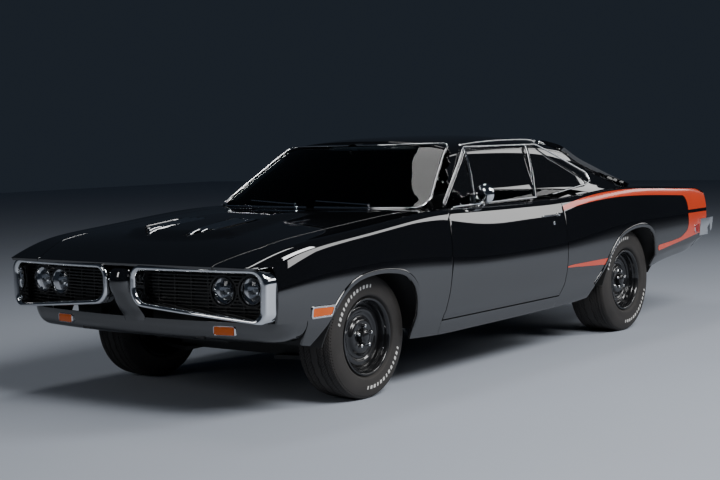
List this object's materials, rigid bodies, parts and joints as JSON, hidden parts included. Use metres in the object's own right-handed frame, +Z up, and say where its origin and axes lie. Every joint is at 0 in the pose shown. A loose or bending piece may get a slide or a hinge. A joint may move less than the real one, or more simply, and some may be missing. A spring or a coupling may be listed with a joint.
{
  "type": "two-door muscle car",
  "caption": "Long-hood, short-deck two-door hardtop car with loop front bumpers, opening doors, hood and boot.",
  "frame": {"origin": "on the ground, at the centre of the whole car's length and width", "axes": "+X forward, +Y to the driver's (left) side, +Z up"},
  "size_m": [5.326, 1.9566, 1.3877],
  "materials": {
    "body_paint": "gloss black paint",
    "underbody": "satin black paint",
    "chrome_trim": "polished chrome",
    "grille_black": "matt black",
    "clear_lens": "clear pressed glass",
    "red_lens": "red lens",
    "window_glass": "tinted glass",
    "engine_iron": "painted casting",
    "radiator_black": "matt black paint",
    "gear_case": "cast",
    "exhaust_steel": "dull steel",
    "tank_steel": "dull steel",
    "dash_black": "grained black",
    "wheel_black": "black plastic",
    "seat_vinyl": "black vinyl",
    "chassis_iron": "painted black",
    "rim_black": "gloss black paint",
    "tyre_rubber": "worn rubber"
  },
  "bodies": {
    "root": {"floor_pan": "underbody", "firewall": "underbody", "boot_floor": "underbody", "cowl": "body_paint", "roof": "body_paint", "tail_panels": "body_paint", "front_valance": "body_paint", "bumper_loops": "chrome_trim", "rear_bumper": "chrome_trim", "window_trims": "chrome_trim", "grille": "grille_black", "front_lamps": "clear_lens", "rear_lamps": "red_lens", "fixed_glass": "window_glass", "engine": "engine_iron", "radiator": "radiator_black", "gearbox": "gear_case", "exhaust": "exhaust_steel", "fuel_tank": "tank_steel", "dashboard": "dash_black", "seats": "seat_vinyl", "front_suspension": "chassis_iron", "rear_axle": "chassis_iron", "fender_left": "body_paint", "quarter_left": "body_paint", "fender_right": "body_paint", "quarter_right": "body_paint"},
    "hood": {"hood": "body_paint"},
    "deck_lid": {"deck_lid": "body_paint"},
    "steering_wheel": {"steering_wheel": "wheel_black"},
    "door_left": {"door_left": "body_paint", "door_glass_left": "window_glass", "door_trim_left": "chrome_trim"},
    "knuckle_left": {"knuckle_left": "chassis_iron"},
    "wheel_front_left": {"rim_front_left": "rim_black", "tyre_front_left": "tyre_rubber"},
    "wheel_rear_left": {"rim_rear_left": "rim_black", "tyre_rear_left": "tyre_rubber"},
    "door_right": {"door_right": "body_paint", "door_glass_right": "window_glass", "door_trim_right": "chrome_trim"},
    "knuckle_right": {"knuckle_right": "chassis_iron"},
    "wheel_front_right": {"rim_front_right": "rim_black", "tyre_front_right": "tyre_rubber"},
    "wheel_rear_right": {"rim_rear_right": "rim_black", "tyre_rear_right": "tyre_rubber"}
  },
  "joints": [
    {"name": "hood_hinge", "type": "hinge", "parent": "root", "child": "hood", "pos_m": [1.141, 0, 0.985], "axis": [0, -1, 0], "range_deg": [0, 50]},
    {"name": "deck_lid_hinge", "type": "hinge", "parent": "root", "child": "deck_lid", "pos_m": [-1.24, 0, 1.02], "axis": [0, 1, 0], "range_deg": [0, 70]},
    {"name": "steer_left", "type": "hinge", "parent": "root", "child": "knuckle_left", "pos_m": [1.678, 0.698, 0.331], "axis": [0, 0, 1], "range_deg": [-33, 33]},
    {"name": "steer_right", "type": "hinge", "parent": "root", "child": "knuckle_right", "pos_m": [1.678, -0.698, 0.331], "axis": [0, 0, 1], "range_deg": [-33, 33]},
    {"name": "steering_wheel_turn", "type": "hinge", "parent": "root", "child": "steering_wheel", "pos_m": [0.578, 0.372, 0.916], "axis": [-0.9135, 0, 0.4067], "range_deg": [-530, 530]},
    {"name": "door_left_hinge", "type": "hinge", "parent": "root", "child": "door_left", "pos_m": [1.1382, 0.905, 0.6], "axis": [0, 0, -1], "range_deg": [0, 65]},
    {"name": "wheel_front_left_spin", "type": "hinge", "parent": "knuckle_left", "child": "wheel_front_left", "pos_m": [1.678, 0.758, 0.331], "axis": [0, 1, 0], "continuous": true},
    {"name": "wheel_rear_left_spin", "type": "hinge", "parent": "root", "child": "wheel_rear_left", "pos_m": [-1.294, 0.752, 0.355], "axis": [0, 1, 0], "continuous": true},
    {"name": "door_right_hinge", "type": "hinge", "parent": "root", "child": "door_right", "pos_m": [1.1382, -0.905, 0.6], "axis": [0, 0, 1], "range_deg": [0, 65]},
    {"name": "wheel_front_right_spin", "type": "hinge", "parent": "knuckle_right", "child": "wheel_front_right", "pos_m": [1.678, -0.758, 0.331], "axis": [0, 1, 0], "continuous": true},
    {"name": "wheel_rear_right_spin", "type": "hinge", "parent": "root", "child": "wheel_rear_right", "pos_m": [-1.294, -0.752, 0.355], "axis": [0, 1, 0], "continuous": true}
  ],
  "couplings": [
    {"joint": "steer_right", "follows": "steer_left", "ratio": 1},
    {"joint": "steering_wheel_turn", "follows": "steer_left", "ratio": 16}
  ]
}
